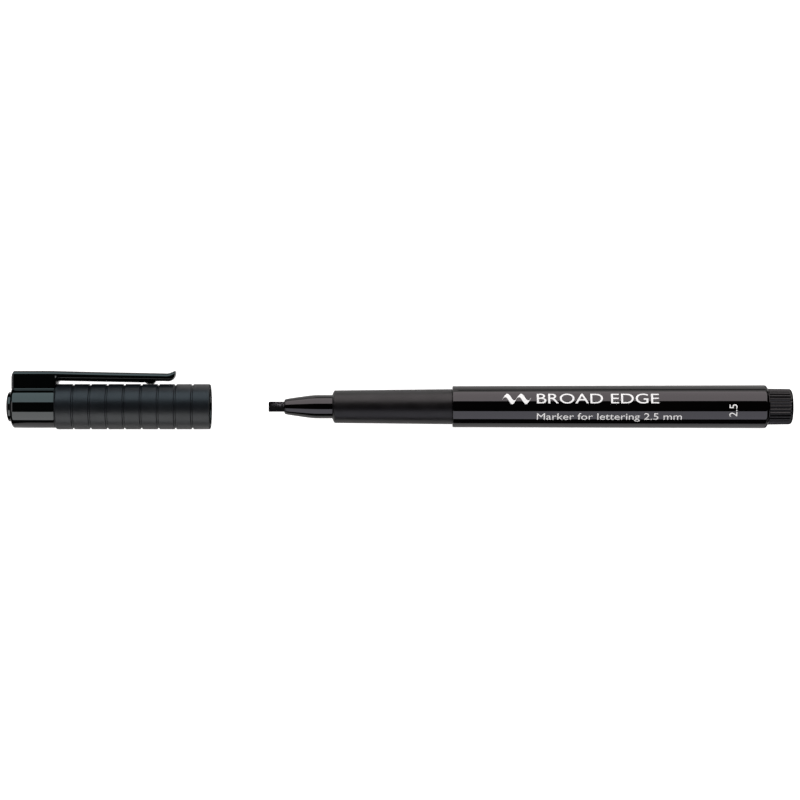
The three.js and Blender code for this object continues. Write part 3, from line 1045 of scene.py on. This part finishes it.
# %% Finishes inside the barrel
ink_rod = matt("inked_rod", (0.006, 0.006, 0.008), (0.02, 0.02, 0.025), 0.8, 3000, 0.00003)
film = matt("clear_wrap", (0.6, 0.62, 0.64), (0.7, 0.72, 0.75), 0.25, 900, 0.00001)
for node, finish in (("ink_reservoir", ink_rod), ("reservoir_film", film)):
    node_object = next(o for o in bpy.context.scene.objects if o.get("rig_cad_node") == node)
    node_object.data.materials.clear()
    node_object.data.materials.append(finish)

# %% [markdown]
# ## The floor
#
# The floor is white paper, overexposed until only the faintest shadow stays on it. Emission that only the camera
# sees does the same here. It is weaker near the pen, so that the shadow stays.


# %% Floor
def flat_quad(name, start, end, near, far, height):
    """A level rectangle from x = start to end and y = near to far, as a new object."""
    mesh = bpy.data.meshes.new(name)
    corners = [(start, near, height), (end, near, height), (end, far, height), (start, far, height)]
    mesh.from_pydata(corners, [], [(0, 1, 2, 3)])
    quad = bpy.data.objects.new(name, mesh)
    bpy.context.collection.objects.link(quad)
    return quad


half_floor = 1.5
floor_height = float(cad_low[2])
floor = flat_quad("floor", -half_floor, half_floor, -half_floor, half_floor, floor_height)


def floor_finish():
    """White paper, with emission that grows from 0.75 to 1 between 0.15 m and 0.4 m from the pen's middle."""
    made = Nodes("pale_floor")
    made.fixed("Roughness", 0.9)
    made.fixed("Specular IOR Level", 0.0)
    made.colour(made.mixed(made.noise(40), (0.8, 0.8, 0.8), (0.81, 0.81, 0.81)))
    made.fixed("Emission Color", (1, 1, 1, 1))
    to_middle = {"Vector": made.place, "Location": (0.1, 0, -floor_height)}
    from_pen = made.add("ShaderNodeMapping", to_middle).outputs[0]
    distance = made.add("ShaderNodeVectorMath", {0: from_pen}, operation="LENGTH").outputs["Value"]
    lift = made.between(distance, 0.75, 1.0, 0.15, 0.4)
    seen = made.add("ShaderNodeLightPath").outputs["Is Camera Ray"]
    made.tree.links.new(made.between(seen, 0.06, lift, 0, 1), made.shader.inputs["Emission Strength"])
    return made.material


floor.data.materials.append(floor_finish())
print("floor at", round(floor_height / mm, 2), "mm")

# %% [markdown]
# ## The strips of light
#
# A polished black cylinder mirrors a strip that stands at twice the angle of its surface, so the strips' angles
# decide where the light lines run. Each group of parts has its own pair, one strip behind and one in front, linked
# to those parts alone, because polish and matt need other strengths and tints. The paper and the print on the
# barrel share a neutral pair, so that they stay white.


# %% Strips of light
strip_distance = 0.42


def strip(name, low_angle, high_angle, side, radiance, tint, start=-0.65, end=0.45):
    """A flat strip light along X that spans the angles from low to high, measured from straight up.

    Its width is 2 d tan(half the span) at the distance d, and its power is radiance * pi * area.
    """
    low, high = math.radians(low_angle), math.radians(high_angle)
    middle = (low + high) / 2
    data = bpy.data.lights.new(name, "AREA")
    data.shape = "RECTANGLE"
    data.size, data.size_y = end - start, 2 * strip_distance * math.tan((high - low) / 2)
    data.color = tint
    data.energy = radiance * math.pi * data.size * data.size_y
    light = bpy.data.objects.new(name, data)
    bpy.context.collection.objects.link(light)
    across, height = strip_distance * math.sin(middle), strip_distance * math.cos(middle)
    light.location = ((start + end) / 2, side * across, height)
    light.rotation_euler = (-side * middle, 0, 0)
    light.visible_camera = False
    return light


def shine_on(name, lit, lights):
    """Links lights to the pieces in lit, so that nothing else is lit by them."""
    receivers = bpy.data.collections.new(name)
    for piece in lit:
        receivers.objects.link(piece)
    for light in lights:
        light.light_linking.receiver_collection = receivers


def made_of(material):
    """The mesh objects whose finish is the given material."""
    return [o for o in bpy.context.scene.objects if o.type == "MESH" and material in o.data.materials[:]]


soft_pen = [grip, nib, plug]
gloss_cap = made_of(cap_gloss) + [seal]
paper = [floor] + made_of(ink)
others = soft_pen + gloss_cap + paper + [sleeve]
gloss_pen = [o for o in bpy.context.scene.objects if o.type == "MESH" and o not in others]
# group: its pieces, then low angle, high angle, radiance and tint of the strip behind and of the one in front
pairs = {
    "paper": (paper, (31, 92, 2.6, (1.0, 0.98, 0.975)), (25, 72, 1.85, (1.0, 0.98, 0.975))),
    "gloss_pen": (gloss_pen, (31, 92, 2.6, (1.0, 0.9, 0.94)), (25, 72, 1.85, (0.9, 0.875, 1.0))),
    "soft_pen": (soft_pen, (35, 92, 1.75, (1.0, 0.92, 0.94)), (28, 79, 0.88, (0.9, 0.88, 1.0))),
    "gloss_cap": (gloss_cap, (24.5, 81.5, 2.45, (0.72, 0.95, 1.0)), (28.5, 77.3, 2.8, (0.95, 0.99, 1.0))),
    "sleeve": ([sleeve], (33, 84, 1.65, (0.72, 0.88, 1.0)), (33, 84, 1.7, (0.96, 0.98, 1.0))),
}
for name, (lit, back, front) in pairs.items():
    back_light = strip(f"{name}_back", *back[:2], 1, *back[2:])
    front_light = strip(f"{name}_front", *front[:2], -1, *front[2:])
    shine_on(name, lit, [back_light, front_light])
    print(f"{name}: {len(lit)} pieces lit by two strips")

# %% [markdown]
# ## A light at the cap's end
#
# One more strip stands across, beyond the cap. It draws the thin pale ring between the crown and its end plug.

# %% Light at the cap's end
end_light = strip("cap_end", 30, 88, 1, 1.4, (0.97, 0.95, 1.0), start=-0.15, end=0.15)
_, reach_out, height = end_light.location
end_light.location = (crown_end - reach_out, 0, height)
end_light.rotation_euler.z = math.pi / 2
shine_on("cap_end", gloss_cap, [end_light])
print("cap's end light at x =", round(end_light.location.x, 3))

# %% [markdown]
# ## Black cards
#
# Between a strip's mirror image and the floor's, a polished part in a real studio mirrors something dark. Black
# cards on the floor stand in for it. Only reflections see them: they throw no shadow, and the camera looks through
# them. Each is named after the part, or the end faces, that it keeps dark.

# %% Black cards
card_black = matt("card_black", (0.0005, 0.0005, 0.0005), (0.001, 0.001, 0.001), 0.9, 900, 0.00001)
wide = 0.6
past = 4 * mm
behind = 30 * mm
before_cap = cad_low[0] - past
gap = (sleeve_mouth + mm, nib_front - mm)
# name: from x, to x, from y, to y
cards = {
    "rear_card": (past, behind, -20 * mm, 20 * mm),
    "rear_far_card": (behind, wide, -wide, wide),
    "gap_card": (*gap, -12 * mm, 12 * mm),
    "gap_back_card": (*gap, 150 * mm, wide),
    "gap_front_card": (*gap, -wide, -70 * mm),
    "cap_end_card": (-0.8, before_cap, -wide, wide),
    "pen_front_card": (nib_front, behind, -wide, -36 * mm),
    "cap_front_card": (before_cap, gap[0], -wide, -70 * mm),
    "barrel_back_card": (barrel_front, behind, 29 * mm, 44 * mm),
    "plug_back_card": (barrel_rear + 0.5 * mm, past, 6.5 * mm, 13 * mm),
    "plug_front_card": (barrel_rear + 0.5 * mm, past, -13 * mm, -6.5 * mm),
    "holder_back_card": (grip_front - 7 * mm, grip_front, 28 * mm, 50 * mm),
    "sleeve_back_card": (sleeve_front, gap[0], 65 * mm, wide),
    "crown_back_card": (before_cap, sleeve_front, 16 * mm, wide),
}
for name, sides in cards.items():
    black = flat_quad(name, *sides, floor_height + 0.1 * mm)
    black.data.materials.append(card_black)
    black.visible_camera = black.visible_diffuse = black.visible_shadow = False
print("black cards:", len(cards))

# %% [markdown]
# ## The room
#
# The camera sees a white room, but the pen sees an almost black one, so that its black stays deep between the
# lines of light. The Standard view keeps white paper white.

# %% The room
world = bpy.data.worlds.new("studio")
bpy.context.scene.world = world
world.use_nodes = True
sky = world.node_tree
background = sky.nodes["Background"]
light_path = sky.nodes.new("ShaderNodeLightPath")
sky_tone = sky.nodes.new("ShaderNodeMapRange")
sky_tone.inputs["To Min"].default_value = 0.01
sky.links.new(light_path.outputs["Is Camera Ray"], sky_tone.inputs["Value"])
sky.links.new(sky_tone.outputs["Result"], background.inputs["Strength"])
background.inputs["Color"].default_value = (1, 1, 1, 1)
bpy.context.scene.view_settings.view_transform = "Standard"
bpy.context.scene.view_settings.look = "None"
print("view:", bpy.context.scene.view_settings.view_transform)
